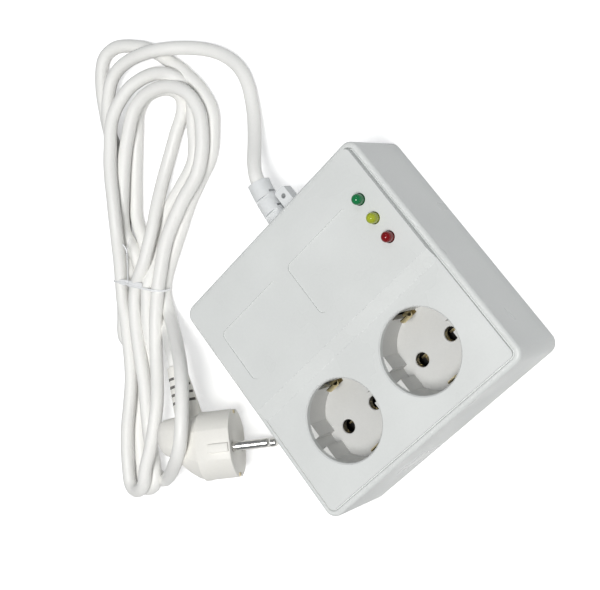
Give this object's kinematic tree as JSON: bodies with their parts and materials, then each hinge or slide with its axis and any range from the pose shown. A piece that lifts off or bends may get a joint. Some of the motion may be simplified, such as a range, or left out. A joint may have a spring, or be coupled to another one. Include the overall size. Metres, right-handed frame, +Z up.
{
  "type": "surge protector power strip",
  "caption": "Square surge protector block with round-well earthed sockets, signal lamps and label recesses, with a long cord tied in a hank and an angled plug.",
  "frame": {"origin": "middle of the block's base, on the surface it lies on", "axes": "+Z up, +X along the row of sockets towards the lamps, +Y towards the wall that the cord leaves"},
  "size_m": [0.2473, 0.2795, 0.05],
  "materials": {
    "housing_plastic": "fine moulded",
    "base_plastic": "fine moulded",
    "socket_plastic": "smooth moulded",
    "carrier_plastic": "plain moulded",
    "contact_brass": "bright stamped",
    "screw_steel": "zinc plated",
    "green_lens": "clear tinted",
    "yellow_lens": "clear tinted",
    "red_lens": "clear tinted",
    "board_laminate": "lacquered",
    "relay_case": "moulded",
    "capacitor_case": "moulded",
    "varistor_coat": "dipped",
    "fuse_glass": "clear",
    "terminal_plastic": "moulded",
    "chip_plastic": "moulded",
    "wire_brown": "insulation",
    "wire_blue": "insulation",
    "wire_green_yellow": "insulation",
    "relief_plastic": "soft moulded",
    "plug_plastic": "moulded",
    "pin_metal": "nickel plated",
    "cord_plastic": "soft sheath",
    "tie_plastic": "thin film"
  },
  "bodies": {
    "root": {"housing": "housing_plastic", "base_plate": "base_plastic", "base_screws": "screw_steel", "socket_cup_left": "socket_plastic", "socket_cup_right": "socket_plastic", "earth_clip_left": "contact_brass", "earth_clip_right": "contact_brass", "contact_carrier": "carrier_plastic", "carrier_screws": "screw_steel", "live_bar": "contact_brass", "neutral_bar": "contact_brass", "led_green": "green_lens", "led_yellow": "yellow_lens", "led_red": "red_lens", "circuit_board": "board_laminate", "board_screws": "screw_steel", "relay": "relay_case", "film_capacitor": "capacitor_case", "varistor_live_neutral": "varistor_coat", "varistor_live_earth": "varistor_coat", "varistor_neutral_earth": "varistor_coat", "fuse": "fuse_glass", "fuse_clips": "contact_brass", "terminal_block": "terminal_plastic", "electrolytic_capacitor": "chip_plastic", "control_chip": "chip_plastic", "wire_live_in": "wire_brown", "wire_live_out": "wire_brown", "wire_neutral": "wire_blue", "wire_earth": "wire_green_yellow", "strain_relief": "relief_plastic", "cord_inner_end": "cord_plastic", "cord_clamp": "terminal_plastic", "clamp_screws": "screw_steel", "plug_body": "plug_plastic", "plug_pin_upper": "pin_metal", "plug_pin_lower": "pin_metal", "plug_earth_strip": "contact_brass", "cord_lead": "cord_plastic", "cord_hank": "cord_plastic", "cord_bight": "cord_plastic", "cord_tail": "cord_plastic", "cord_tie": "tie_plastic"}
  },
  "joints": []
}
